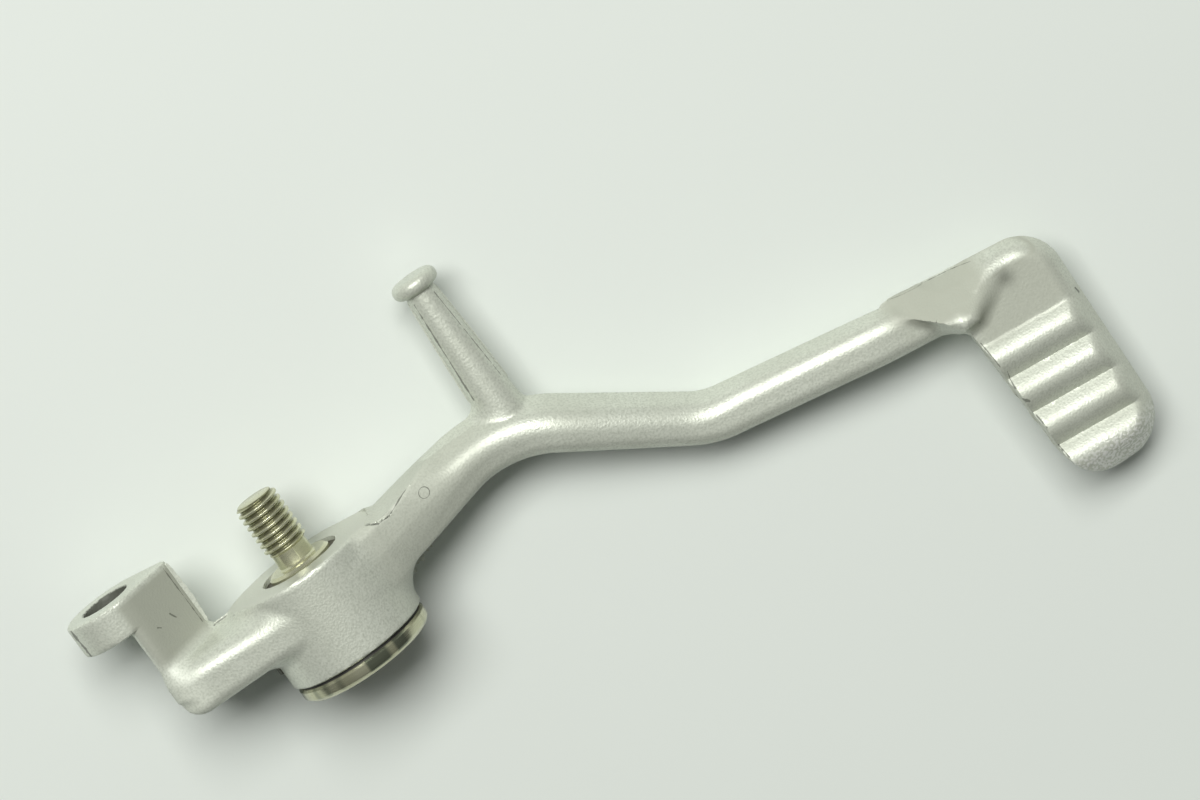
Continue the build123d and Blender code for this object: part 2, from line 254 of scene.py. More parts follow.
def make_floor():
    """Square sheet on which the pedal lies: under the boss, and rising to the knee of the arm."""
    half = FLOOR_SIZE / 2
    low = float(BOX_LOW[2] * MM) - FLOOR_GAP
    plan = ((-half, -half), (half, -half), (half, half), (-half, half))
    mesh = bpy.data.meshes.new("floor")
    mesh.from_pydata([(x, y, low + FLOOR_SLOPE * x) for x, y in plan], [], [(0, 1, 2, 3)])
    floor = add_object("floor", mesh)
    material, tree, shader = new_material("table_top", Roughness=FLOOR_ROUGHNESS)
    mottle = noise(tree, own_place(tree), *MOTTLE)
    feed(tree, shader, Base_Color=blend(tree, mottle, FLOOR_COLOUR, FLOOR_MOTTLED))
    mesh.materials.append(material)


def make_lamp():
    """Soft oblong lamp: its back points away from what it lights, and its long side lies level."""
    data = bpy.data.lights.new("key_lamp", "AREA")
    data.shape = "RECTANGLE"
    data.size, data.size_y = KEY_SIZE
    data.energy = KEY_WATTS
    data.color = KEY_COLOUR
    lamp = add_object("key_lamp", data)
    away = Vector(KEY_PLACE) - Vector(LAMP_AIM)
    lamp.matrix_world = Matrix.Translation(KEY_PLACE) @ away.to_track_quat("Z", "Y").to_matrix().to_4x4()
    return lamp


def make_world():
    """Dim grey surroundings, brighter towards the lamp's side: the share of each direction that faces it."""
    world = bpy.data.worlds.new("studio")
    bpy.context.scene.world = world
    world.use_nodes = True
    tree = world.node_tree
    way = add_node(tree, "ShaderNodeTexCoord").outputs["Generated"]
    facing = vectors(tree, "DOT_PRODUCT", way, BRIGHT_SIDE)
    background = tree.nodes["Background"]
    background.inputs["Color"].default_value = WORLD_COLOUR
    feed(tree, background, Strength=span(tree, facing, *BRIGHT_RANGE, *WORLD_LEVELS))


bpy.context.scene.view_settings.view_transform = "Standard"
make_floor()
lamp = make_lamp()
make_world()
print("floor and lamp", [round(v, 3) for v in lamp.matrix_world.col[2]])

# %% [markdown]
# The lever is cast in one go, so arms, boss, post and pad flow into each other. A loft or a subdivision
# cage would need a patch at every meeting. A distance field, negative inside the metal, needs none: one
# formula joins two fields with a fillet.

# %% Fields that join and cut with rounds


def round_union(a, b, radius):
    """Both fields joined: the smaller distance, less what a fillet of the radius adds in the corner."""
    corner = np.hypot(np.maximum(radius - a, 0), np.maximum(radius - b, 0))
    return np.maximum(radius, np.minimum(a, b)) - corner


def round_common(a, b, radius):
    """What both fields share: the larger distance, with the edge between them rounded to the radius."""
    corner = np.hypot(np.maximum(radius + a, 0), np.maximum(radius + b, 0))
    return np.minimum(-radius, np.maximum(a, b)) + corner


def tapered_capsule(along, across, first_radius, last_radius, length):
    """Distance to two circles, at 0 and at length, and to the two tangent lines between them."""
    lean = (first_radius - last_radius) / length
    flat = sqrt(1 - lean**2)
    across = np.abs(across)
    reach = flat * along - lean * across
    first = np.hypot(along, across) - first_radius
    last = np.hypot(along - length, across) - last_radius
    side = flat * across + lean * along - first_radius
    return np.where(reach < 0, first, np.where(reach > flat * length, last, side))


def left_of(x, y, start, end):
    """Distance to the left of the straight line from start to end, in plan."""
    run = (end[0] - start[0], end[1] - start[1])
    return (run[0] * (y - start[1]) - run[1] * (x - start[0])) / hypot(*run)


def ramp(value, start, over, least=0.0):
    """Share that climbs from the least at the start to one over a length, or falls if that is negative."""
    return np.clip((value - start) / over, least, 1.0)


print("a corner of two fields, filleted:", round_union(np.array(1.0), np.array(1.0), 2.0))

# %% [markdown]
# The main arm has three straight runs and two round bends in plan. Its section is a low roof above and
# below, with steep sides: near the boss the roof falls outwards, and further on its inner slope grows
# steep. A sweep keeps one section, so the sizes are given at a few places along the arm and eased between
# them.

# %% Main arm
ARM_PLAN = ((3.0, -8.9), (41.7, -0.9), (71.9, -21.3), (116.0, -28.2))
ARM_BENDS = (24.0, 16.0)
FLARE_AT = 19.0
END_DIP = 13.0
ARM_WIDTHS = (11.4, 10.95, 10.8, 10.8, 10.1, 9.9, 9.9, 9.2)
ARM_CRESTS = (0.6, 0.6, 0.8, 1.1, 1.4, 2.6, 2.9, 2.9)
ARM_INNER_LEANS = (0.0, 3.0, 50.0, 57.0, 60.0, 69.0, 69.0, 66.0)
ARM_OUTER_LEANS = (32.0, 30.0, 24.0, 7.0, 4.0, 0.0, 0.0, 0.0)
ARM_HEIGHTS = (18.0, 15.6, 13.0, 13.0, 11.6, 11.6, 10.4, 7.4)
ARM_MIDDLES = (0.0, -1.7, -3.5, -3.5, -5.0, -5.0, -2.3, -1.6)
CREST_ROUND = 2.5
BROW_ROUNDS = (0.4, 0.4, 1.2, 2.2, 2.2, 2.2, 2.2, 2.2)
SIDE_DRAFT = tan(radians(5))
SMOOTH_OVER = 11.0
ARM_SAMPLES = 400


def arm_stretches():
    """Straight runs and bends of the arm's middle line, with the length at which each one starts."""
    points = np.array(ARM_PLAN)
    runs = np.diff(points, axis=0)
    ways = runs / np.hypot(*runs.T)[:, None]
    yaws = np.arctan2(runs[:, 1], runs[:, 0])
    turns = np.diff(yaws)
    trims = np.append(np.array(ARM_BENDS) * np.tan(np.abs(turns) / 2), 0.0)
    stretches = []
    start, position = points[0], 0.0
    for i, way in enumerate(ways):
        stop = points[i + 1] - way * trims[i]
        length = float(np.hypot(*(stop - start)))
        stretches.append(("run", start, way, length, position))
        position += length
        if i < len(turns):
            side = copysign(1.0, turns[i])
            centre = stop + side * ARM_BENDS[i] * np.array([-way[1], way[0]])
            length = ARM_BENDS[i] * abs(turns[i])
            stretches.append(("bend", centre, (ARM_BENDS[i], side, yaws[i]), length, position))
            position += length
            start = points[i + 1] + ways[i + 1] * trims[i]
    return stretches


ARM_STRETCHES = arm_stretches()
ARM_LENGTH = ARM_STRETCHES[-1][4] + ARM_STRETCHES[-1][3]
BEND_PLACES = [stretch[4] for stretch in ARM_STRETCHES[1:]]
ARM_KNOTS = [0.0, FLARE_AT, *BEND_PLACES, ARM_LENGTH - END_DIP, ARM_LENGTH]
ARM_PLACES = np.linspace(-SMOOTH_OVER, ARM_LENGTH + SMOOTH_OVER, ARM_SAMPLES)


def eased(values):
    """Values on straight lines between the knots, then averaged over a short length to ease the corners."""
    line = np.interp(ARM_PLACES, ARM_KNOTS, values)
    count = int(SMOOTH_OVER / (ARM_PLACES[1] - ARM_PLACES[0])) | 1
    window = np.hanning(count + 2)[1:-1]
    padded = np.pad(line, count // 2, mode="edge")
    return np.convolve(padded, window / window.sum(), mode="valid")


ARM_TABLES = [eased(values) for values in (
    ARM_WIDTHS, ARM_HEIGHTS, ARM_MIDDLES, ARM_CRESTS, BROW_ROUNDS, ARM_INNER_LEANS, ARM_OUTER_LEANS)]


def along_arm(x, y):
    """Length along the arm's middle line and offset to its left, from the nearest stretch in plan."""
    best_gap, best_length, best_offset = inf, 0.0, 0.0
    for kind, origin, shape, length, position in ARM_STRETCHES:
        dx, dy = x - origin[0], y - origin[1]
        if kind == "run":
            raw = dx * shape[0] + dy * shape[1]
            offset = dy * shape[0] - dx * shape[1]
        else:
            radius, side, yaw = shape
            turned = (np.arctan2(dy, dx) - (yaw - side * pi / 2)) * side
            raw = ((turned + pi) % (2 * pi) - pi) * radius
            offset = side * (radius - np.hypot(dx, dy))
        over = raw - np.clip(raw, 0.0, length)
        gap = np.hypot(offset, over)
        nearer = gap < best_gap
        best_length = np.where(nearer, position + raw - over, best_length)
        best_offset = np.where(nearer, np.copysign(gap, offset), best_offset)
        best_gap = np.minimum(gap, best_gap)
    return best_length, best_offset


def arm_field(x, y, z):
    """Section carried along the middle line: two slopes that meet in a round crest, between steep sides."""
    length, offset = along_arm(x, y)
    width, height, middle, crest, brow, *leans = (np.interp(length, ARM_PLACES, t) for t in ARM_TABLES)
    rise = np.abs(z - middle)
    inner, outer = (
        (rise - height / 2) * np.cos(np.radians(lean)) + side * (offset - crest) * np.sin(np.radians(lean))
        for side, lean in zip((1, -1), leans))
    roof = round_common(inner, outer, CREST_ROUND)
    return round_common(roof, np.abs(offset) - width / 2 + rise * SIDE_DRAFT, brow)


print("arm is", round(ARM_KNOTS[-1], 1), "mm long on its middle line")

# %% [markdown]
# The boss is a plain drum on the pivot axis. Behind it the rear arm narrows like a teardrop, drafted so
# that it leaves the mould, and a step carries it inwards to the flat eye for the brake rod.

# %% Boss, rear arm and eye
BOSS_RADIUS = float(BOX_HIGH[2])
BOSS_INNER = -0.5
BOSS_OUTER = -18.0
BOSS_EDGE = 0.6
REAR_ROOT_RADIUS = 12.6
REAR_INNER, REAR_OUTER = -1.0, -13.0
REAR_DRAFT = radians(11)
REAR_END = -30.0
REAR_RIDGE_ROUND, REAR_OUTER_ROUND = 3.0, 1.6
REAR_END_ROUND = 3.8
EYE_X = -30.8
EYE_RADIUS = 8.0
EYE_HOLE = 4.4
EYE_OUTER, EYE_INNER = 7.0, 13.2
EYE_ROUND = 0.7
STEP_TIP_X = -19.9
STEP_TIP_RADIUS = 1.3
STEP_REAR = -29.6
STEP_ROUND = 2.4


def boss_field(x, y, z):
    """Drum between two faces, with softened rims."""
    faces = np.abs(y - (BOSS_INNER + BOSS_OUTER) / 2) - (BOSS_INNER - BOSS_OUTER) / 2
    return round_common(np.hypot(x, z) - BOSS_RADIUS, faces, BOSS_EDGE)


def rear_arm_field(x, y, z):
    """Capsule from the boss to the eye, cut by drafted flanks and an end face, with round ridges."""
    plan = tapered_capsule(-x, z, REAR_ROOT_RADIUS, EYE_RADIUS, -EYE_X)
    lean = np.abs(z) * tan(REAR_DRAFT)
    inner = (y - REAR_INNER + lean) * cos(REAR_DRAFT)
    outer = (REAR_OUTER + lean - y) * cos(REAR_DRAFT)
    bar = round_common(round_common(plan, inner, REAR_RIDGE_ROUND), outer, REAR_OUTER_ROUND)
    return round_common(bar, REAR_END - x, REAR_END_ROUND)


def step_and_eye_field(x, y, z):
    """Teardrop plate for the eye, and the same teardrop cut off behind it for the step."""
    teardrop = tapered_capsule(x - EYE_X, z, EYE_RADIUS, STEP_TIP_RADIUS, STEP_TIP_X - EYE_X)
    middle = (EYE_OUTER + EYE_INNER) / 2
    eye = round_common(teardrop, np.abs(y - middle) - (EYE_INNER - EYE_OUTER) / 2, EYE_ROUND)
    span_y = np.maximum(y - middle, (REAR_OUTER + REAR_INNER) / 2 - y)
    step = np.maximum(round_common(teardrop, STEP_REAR - x, STEP_ROUND), span_y)
    return np.minimum(eye, step)


print("boss radius", round(BOSS_RADIUS, 2), "mm, eye at x", EYE_X)

# %% [markdown]
# The spring post stands on the inner side of the arm, at the first bend. It tapers so that it leaves the
# mould, and it ends in a mushroom head that keeps the spring's hook from slipping off.

# %% Spring post
POST_X, POST_Z = 43.4, -3.5
POST_FOOT_Y = -0.9
POST_TIP_Y = float(BOX_HIGH[1])
POST_FOOT_RADIUS, POST_NECK_RADIUS = 4.2, 2.75
POST_HEAD_RADIUS = 4.3
POST_HEAD_THICKNESS = 2.8
POST_HEAD_ROUND = 1.25
POST_NECK_Y = POST_TIP_Y - POST_HEAD_THICKNESS
POST_NECK_FILLET, POST_INTO_HEAD = 0.5, 1.0


def post_field(x, y, z):
    """Cone from the arm to the neck, and a round-edged disc for its head."""
    around = np.hypot(x - POST_X, z - POST_Z)
    share = ramp(y, POST_FOOT_Y, POST_NECK_Y - POST_FOOT_Y)
    cone = around - (POST_FOOT_RADIUS + (POST_NECK_RADIUS - POST_FOOT_RADIUS) * share)
    shaft = np.maximum(cone, np.maximum(POST_FOOT_Y - y, y - POST_NECK_Y - POST_INTO_HEAD))
    thick = np.abs(y - (POST_TIP_Y + POST_NECK_Y) / 2) - POST_HEAD_THICKNESS / 2
    head = round_common(around - POST_HEAD_RADIUS, thick, POST_HEAD_ROUND)
    return round_union(shaft, head, POST_NECK_FILLET)


print("post tip at y", round(POST_TIP_Y, 2))

# %% [markdown]
# The foot pad is a plate with sloping sides and four round ribs for the boot: a height that follows half a
# sine across each rib and falls in a quarter circle at its front end. A gusset carries the arm's crest
# into the pad, as one sloping face between drafted walls.

# %% Foot pad and gusset
PAD_CORNERS = ((116.2, -22.8), (137.3, -25.4), (137.3, -69.6), (119.2, -69.6))
PAD_INNER_ROUND, PAD_OUTER_ROUND = 7.0, 8.4
PAD_TOP, PAD_BOTTOM, PAD_PARTING = 3.0, -1.6, -0.4
PAD_DRAFT = radians(31)
PAD_LOW_DRAFT = radians(12)
PAD_EDGE_ROUND = 1.5
PAD_REAR_ROUND = 0.35
RIB_COUNT = 4
RIB_FIRST = (126.75, -38.2)
RIB_PITCH = 7.3
RIB_YAW = radians(-5.5)
RIB_HEIGHT = 1.8
RIB_SHARPNESS = 1.05
RIB_FLANK = 0.85
RIB_END_ROUND = 2.8
RIB_END_INSET = 1.7
GUSSET_PLAN = (
    (105.8, -21.3), (130.2, -24.9), (127.4, -27.8),
    (119.7, -33.2), (115.3, -33.3), (108.4, -24.6),
)
GUSSET_INNER = ((107.3, -21.6), (129.9, -25.3))
GUSSET_INNER_Z = 0.0
GUSSET_SLOPE = 0.95
GUSSET_DRAFTS = np.radians((0, 16, 14, 10, 5, 20))
GUSSET_ROUNDS = (0.15, 3.0)
GUSSET_ROUND_FROM = (113.5, 116.5)
FACE_LEAVES_X = 120.5
FACE_LEAVES_SLOPE = 0.5
ARM_LEAVES_X, ARM_LEAVES_SLOPE = 113.5, 0.28
UNDER_FACE = 1.5
GUSSET_BELOW = 1.0
REAR_FALL_X, REAR_FALL = 111.0, 0.30


def rib_height(x, y, front):
    """Height of the ribs over the pad's floor: a sharpened sine across them, a quarter circle at the end."""
    across = (x - RIB_FIRST[0]) * sin(RIB_YAW) - (y - RIB_FIRST[1]) * cos(RIB_YAW)
    turns = np.clip(across / RIB_PITCH, 0.0, RIB_COUNT)
    wave = np.abs(np.sin(pi * turns)) ** RIB_SHARPNESS
    inset = ramp(-front, RIB_END_INSET, RIB_END_ROUND)
    return RIB_HEIGHT * wave * np.sqrt(1 - (1 - inset) ** 2)


def gusset_face(x, y, z):
    """Distance above the gusset's plane, which climbs outwards from the inner side."""
    climb = GUSSET_INNER_Z - GUSSET_SLOPE * left_of(x, y, *GUSSET_INNER)
    return (z - climb) / hypot(1, GUSSET_SLOPE)


def gusset_top(x, y, z):
    """Distance above the gusset's face: its plane, which falls away behind the rear line."""
    return gusset_face(x, y, z) + REAR_FALL * np.maximum(REAR_FALL_X - x, 0)


def pad_field(x, y, z):
    """Plate with drafted sides above and below its parting line, ribs on top, a corner under the gusset."""
    sides = [left_of(x, y, PAD_CORNERS[i], PAD_CORNERS[(i + 1) % 4]) for i in range(4)]
    front = round_common(sides[1], sides[2], PAD_OUTER_ROUND)
    outline = round_common(front, sides[0], PAD_INNER_ROUND)
    upper = (outline + (z - PAD_PARTING) * tan(PAD_DRAFT)) * cos(PAD_DRAFT)
    lower = (outline + (PAD_PARTING - z) * tan(PAD_LOW_DRAFT)) * cos(PAD_LOW_DRAFT)
    top = (z - PAD_TOP - rib_height(x, y, front)) * RIB_FLANK
    plate = round_common(np.maximum(upper, lower), np.maximum(top, PAD_BOTTOM - z), PAD_EDGE_ROUND)
    leaving = FACE_LEAVES_SLOPE * np.maximum(x - FACE_LEAVES_X, 0)
    plate = np.maximum(plate, gusset_face(x, y, z) + UNDER_FACE - leaving)
    return round_common(plate, round_common(sides[3], sides[2], PAD_OUTER_ROUND), PAD_REAR_ROUND)


def gusset_field(x, y, z):
    """Wedge under the gusset's plane, inside drafted walls that follow its plan."""
    walls = -inf
    for draft, start, end in zip(GUSSET_DRAFTS, GUSSET_PLAN, GUSSET_PLAN[1:] + GUSSET_PLAN[:1]):
        edge = left_of(x, y, start, end)
        walls = np.maximum(walls, (edge + (z - PAD_TOP) * tan(draft)) * cos(draft))
    rounding = np.interp(x, GUSSET_ROUND_FROM, GUSSET_ROUNDS)
    return np.maximum(round_common(walls, gusset_top(x, y, z), rounding), PAD_PARTING - GUSSET_BELOW - z)


print("ribs:", RIB_COUNT, "at", RIB_PITCH, "mm pitch")

# %% [markdown]
# The parts of the casting are joined, each with its own fillet, which fades where two surfaces nearly lie
# on each other and would bulge. The cutters come last, so machined edges stay crisp.

# %% The whole casting as one field
POST_FILLET, POST_FADE = 3.0, (-1.0, 4.0, 0.1)
BOSS_FILLET, BOSS_FADE = 5.0, (4.0, 10.0, 0.04)
REAR_FILLET, PIN_FADE = 3.5, (REAR_OUTER - 1.5, 3.0, 0.12)
STEP_FILLET = 2.0
GUSSET_FILLET, GUSSET_FADE = 1.6, (0.0, -4.0, 0.04)
ARM_LEAVES_ROUND = 0.8
PAD_FILLET = 2.0
FACING_RADIUS = 14.4
BORE_RADIUS = 7.5
HOLE_ROUND = 0.5
PIN_PLACE = (-13.2, -7.3)
PIN_POCKET = 2.0


def lever_field(x, y, z):
    """Joined casting, less the facing cut, the bore, the pin's pocket and the eye's hole."""
    face = gusset_face(x, y, z) + UNDER_FACE - ARM_LEAVES_SLOPE * np.maximum(ARM_LEAVES_X - x, 0)
    arm = round_common(arm_field(x, y, z), face, ARM_LEAVES_ROUND)
    body = round_union(arm, post_field(x, y, z), POST_FILLET * ramp(y, *POST_FADE))
    aside = ramp(np.abs(x), *BOSS_FADE)
    body = round_union(body, boss_field(x, y, z), BOSS_FILLET * aside)
    rear = round_union(rear_arm_field(x, y, z), step_and_eye_field(x, y, z), STEP_FILLET)
    body = round_union(body, rear, REAR_FILLET * np.minimum(ramp(y, *PIN_FADE), aside))
    foot = round_union(gusset_field(x, y, z), pad_field(x, y, z), PAD_FILLET)
    outwards = ramp(left_of(x, y, *GUSSET_INNER), *GUSSET_FADE)
    body = round_union(body, foot, GUSSET_FILLET * outwards)
    around = np.hypot(x, z)
    facing = np.maximum(BOSS_INNER - y, around - FACING_RADIUS)
    body = np.maximum(body, -facing)
    body = np.maximum(body, BORE_RADIUS - around)
    pocket = np.maximum(np.hypot(x - PIN_PLACE[0], z - PIN_PLACE[1]) - PIN_POCKET, y - REAR_OUTER)
    body = np.maximum(body, -pocket)
    hole = np.maximum(np.hypot(x - EYE_X, z) - EYE_HOLE, EYE_OUTER - y)
    return round_common(body, -hole, HOLE_ROUND)


print("field at the bore's centre:", round(float(lever_field(0.0, -9.0, 0.0)), 2), "mm")

# %% [markdown]
# Marching cubes would cut off every crisp edge of the field, so this is dual contouring: each grid edge
# that changes sign gives a point and a normal, and each cell puts one vertex where its tangent planes
# agree best.

# %% Turn a field into a mesh
GRID_STEP = 0.5
GRID_MARGIN = 1.6
NORMAL_STEP = 0.04
SOLVE_DAMPING = 0.06


def field_normals(field, points):
    """Unit gradient of the field by central differences."""
    columns = []
    for axis in range(3):
        shift = np.zeros(3)
        shift[axis] = NORMAL_STEP
        columns.append(field(*(points + shift).T) - field(*(points - shift).T))
    gradient = np.stack(columns, axis=1)
    return gradient / np.maximum(np.linalg.norm(gradient, axis=1, keepdims=True), 1e-9)


def field_mesh(field, low, high, step):
    """Vertices and quads of the zero surface: least squares of the tangent planes in each crossed cell."""
    origin = np.asarray(low) - GRID_MARGIN * step
    counts = np.ceil((np.asarray(high) - origin) / step + GRID_MARGIN).astype(int) + 1
    xs, ys, zs = (origin[a] + step * np.arange(counts[a]) for a in range(3))
    values = field(xs[:, None, None], ys[None, :, None], zs[None, None, :])
    strides = np.array([counts[1] * counts[2], counts[2], 1])
    points, cells, flips = [], [], []
    for axis in range(3):
        first = np.moveaxis(values, axis, 0)[:-1]
        second = np.moveaxis(values, axis, 0)[1:]
        index = np.stack(np.nonzero((first < 0) != (second < 0)), axis=1)
        start, end = first[tuple(index.T)], second[tuple(index.T)]
        order = [axis] + [a for a in range(3) if a != axis]
        grid = np.empty_like(index)
        grid[:, order] = index
        place = origin + step * grid.astype(float)
        place[:, axis] += step * start / (start - end)
        u, v = (axis + 1) % 3, (axis + 2) % 3
        ring = [strides[u] + strides[v], strides[v], 0, strides[u]]
        cells.append((grid @ strides)[:, None] - np.array(ring)[None, :])
        points.append(place)
        flips.append(start > 0)
    points, cells, flips = (np.concatenate(parts) for parts in (points, cells, flips))
    normals = field_normals(field, points)
    used, slots = np.unique(cells, return_inverse=True)
    slots = slots.reshape(cells.shape)
    corners = np.stack(np.unravel_index(used, counts), axis=1)
    centres = origin + step * (corners + 0.5)
    owner = slots.ravel()
    local = np.repeat(points, 4, axis=0) - centres[owner]
    normal = np.repeat(normals, 4, axis=0)
    count = np.bincount(owner)

    def gather(weights):
        return np.bincount(owner, weights=weights)

    mean = np.stack([gather(local[:, a]) for a in range(3)], axis=1) / count[:, None]
    planes = np.einsum("ij,ij->i", normal, local - mean[owner])
    matrix = np.stack([[gather(normal[:, a] * normal[:, b]) for b in range(3)] for a in range(3)])
    matrix = np.moveaxis(matrix, 2, 0) + SOLVE_DAMPING * np.eye(3)
    right = np.stack([gather(normal[:, a] * planes) for a in range(3)], axis=1)
    vertices = mean + np.linalg.solve(matrix, right[:, :, None])[:, :, 0]
    vertices = centres + np.clip(vertices, -step / 2, step / 2)
    quads = np.where(flips[:, None], slots[:, ::-1], slots)
    return vertices, quads


print("dual contouring at", GRID_STEP, "mm")

# %% [markdown]
# Every piece is a mesh from arrays in millimetres, smooth but with crisp edges, that rides on a body. The
# lever takes the place of its plain solid, whose fillets are simpler.

# %% Lever piece
CRISP_ANGLE = radians(38)


def make_piece(name, vertices, faces, body, slot, replaced=()):
    """Mesh object from arrays in millimetres, smooth with crisp edges, riding on its body."""
    mesh = bpy.data.meshes.new(name)
    mesh.from_pydata((np.asarray(vertices) * MM).tolist(), [], [list(face) for face in faces])
    mesh.update()
    mesh.shade_smooth()
    mesh.set_sharp_from_angle(angle=CRISP_ANGLE)
    piece = add_object(name, mesh)
    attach(piece, body)
    if replaced:
        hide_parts(*replaced)
    print(name, len(vertices), "vertices,", len(faces), "faces")
    return piece


lever_points, lever_quads = field_mesh(lever_field, BOX_LOW, BOX_HIGH, GRID_STEP)
lever = make_piece("lever_casting", lever_points, lever_quads.tolist(),
                   "lever", "silver_casting", ["pedal_lever"])

# %% [markdown]
# Where two halves of the mould meet, a thin fin of metal squeezes out and is roughly broken off. Each fin
# is a narrow strip on a path whose height wavers, so it looks torn. A bevelled curve would look machined.

# %% Casting flash
FIN_STATIONS = 90
FIN_THICKNESS, FIN_TIP = 0.22, 0.45
FIN_ROOT, FIN_LEAST = 0.3, 0.05
FIN_WAVES, FIN_RATES = 5, (1, 9)
FIN_ENDS = 0.25


def tube(rows, columns):
    """Quads of a tube closed round its columns: each point with the next one and the two in the row after."""
    row, column = np.meshgrid(np.arange(rows - 1) * columns, np.arange(columns), indexing="ij")
    after = (column + 1) % columns
    corners = [row + column, row + after, row + columns + after, row + columns + column]
    return np.stack(corners, axis=2).reshape(-1, 4)


def fin(start, end, outwards, height, ragged, seed):
    """Strip on a straight path with four corners at each station: its height is a sum of sine waves."""
    share = np.linspace(0.0, 1.0, FIN_STATIONS)[:, None]
    start, end, outwards = (np.asarray(v, float) for v in (start, end, outwards))
    run = end - start
    across = np.cross(run / np.linalg.norm(run), outwards)
    random = np.random.default_rng(seed)
    rates, phases = random.uniform(*FIN_RATES, FIN_WAVES), random.uniform(0, 2 * pi, FIN_WAVES)
    waver = np.sin(2 * pi * share * rates + phases).sum(axis=1) / (FIN_WAVES / 2)
    tall = np.maximum(height * (1 + ragged * waver), FIN_LEAST)[:, None]
    tall = tall * np.sin(pi * share) ** FIN_ENDS
    foot, tip = start + run * share - FIN_ROOT * outwards, start + run * share + tall * outwards
    wide, thin = across * FIN_THICKNESS, across * FIN_THICKNESS * FIN_TIP
    points = np.stack([foot - wide, foot + wide, tip + thin, tip - thin], axis=1).reshape(-1, 3)
    last = 4 * (FIN_STATIONS - 1)
    caps = np.array([[3, 2, 1, 0], [last, last + 1, last + 2, last + 3]])
    return points, np.concatenate([tube(FIN_STATIONS, 4), caps])


def post_side(side):
    """Fin on one side of the post, from its foot to its neck."""
    start = (POST_X + side * (POST_FOOT_RADIUS - 0.25), POST_FOOT_Y + 5.5, POST_Z)
    return start, (POST_X + side * POST_NECK_RADIUS, POST_NECK_Y - 0.5, POST_Z), (side, 0, 0)


def on_top(x, y):
    """Point on the casting's upper side at a place in plan: the highest level that is still metal."""
    levels = np.linspace(0.0, BOSS_RADIUS, 600)
    metal = lever_field(np.full_like(levels, x), np.full_like(levels, y), levels) < 0
    return x, y, float(levels[metal].max())


# start, end, outward direction, height, raggedness and seed
FINS = (
    (on_top(14.0, -1.0), on_top(17.6, -1.7), (0, 0.3, 0.95), 0.20, 0.6, 8),
    (on_top(17.6, -1.7), on_top(23.4, 0.2), (0, 0.3, 0.95), 0.16, 0.6, 9),
    (*post_side(-1), 0.30, 0.12, 1),
    (*post_side(1), 0.25, 0.12, 2),
    ((STEP_TIP_X + 1.2, 12.6, 0.4), (STEP_TIP_X + 1.2, 0.2, 0.4), (1, 0, 0), 0.75, 0.10, 3),
    ((STEP_TIP_X + 1.6, REAR_INNER, 0.4), (-13.9, REAR_INNER, 0.4), (0, 1, 0), 0.4, 0.15, 4),
    ((117.25, -36.5, -0.5), (118.7, -61.5, -0.5), (-1, -0.06, 0), 0.18, 0.7, 6),
    ((13.4, -13.6, -2.0), (20.2, -10.4, -2.0), (0.43, -0.9, 0), 0.9, 0.6, 7),
)
fins = [fin(*values) for values in FINS]
fin_points = np.concatenate([points for points, _ in fins])
fin_quads = np.concatenate([quads + i * 4 * FIN_STATIONS for i, (_, quads) in enumerate(fins)])
flash = make_piece("casting_flash", fin_points, fin_quads.tolist(), "lever", "silver_casting")

# %% [markdown]
# The pivot bolt is turned, so it is a lathe surface: rings of points about the Y axis. A ring's radius may
# change with the angle, which gives the thread, climbing one pitch each turn, and the hidden hexagon
# socket.

# %% Pivot bolt
BOLT_LOW, BOLT_HIGH = (np.array(corner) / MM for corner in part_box("pivot_bolt"))
BOLT_COLUMNS = 144
HEAD_RADIUS = float(BOLT_HIGH[0])
HEAD_OUTER, THREAD_END = float(BOLT_LOW[1]), float(BOLT_HIGH[1])
HEAD_INNER = HEAD_OUTER + 2.8
INNER_CHAMFER, OUTER_CHAMFER = 0.35, 0.9
JOURNAL_RADIUS, JOURNAL_CHAMFER = 6.0, 0.5
NECK_RADIUS, NECK_END = 3.4, 3.2
THREAD_RADIUS, THREAD_PITCH, THREAD_DEPTH = 4.0, 1.25, 0.68
THREAD_CREST, THREAD_FLANK = 1.25, 2.9
THREAD_RUN_IN, THREAD_FADE = 0.35, 0.6
THREAD_ROWS = 240
THREAD_CHAMFER = 0.8
SOCKET_FLATS, SOCKET_DEPTH = 8.0, 5.0


def hexagon(angle, flats):
    """Radius of a hexagon at the angle: half the flats over the cosine from the nearest flat's middle."""
    sixth = pi / 3
    return flats / 2 / np.cos((angle % sixth) - sixth / 2)


def thread_radius(y, angle):
    """Radius on the thread: a flank ramp up, a short crest, a ramp down and a round root, once per pitch."""
    phase = (y / THREAD_PITCH - angle / (2 * pi)) % 1.0
    ridge = np.clip(THREAD_CREST - THREAD_FLANK * np.abs(phase - 0.5), 0.0, 1.0)
    ridge = ridge * ridge * (3 - 2 * ridge)
    ends = np.minimum(THREAD_END - y, y - NECK_END + THREAD_RUN_IN)
    limit = THREAD_RADIUS - np.clip(THREAD_CHAMFER - (THREAD_END - y), 0, THREAD_CHAMFER)
    fade = ramp(ends, 0.0, THREAD_FADE)
    return np.minimum(THREAD_RADIUS - THREAD_DEPTH * (1 - ridge * fade), limit)


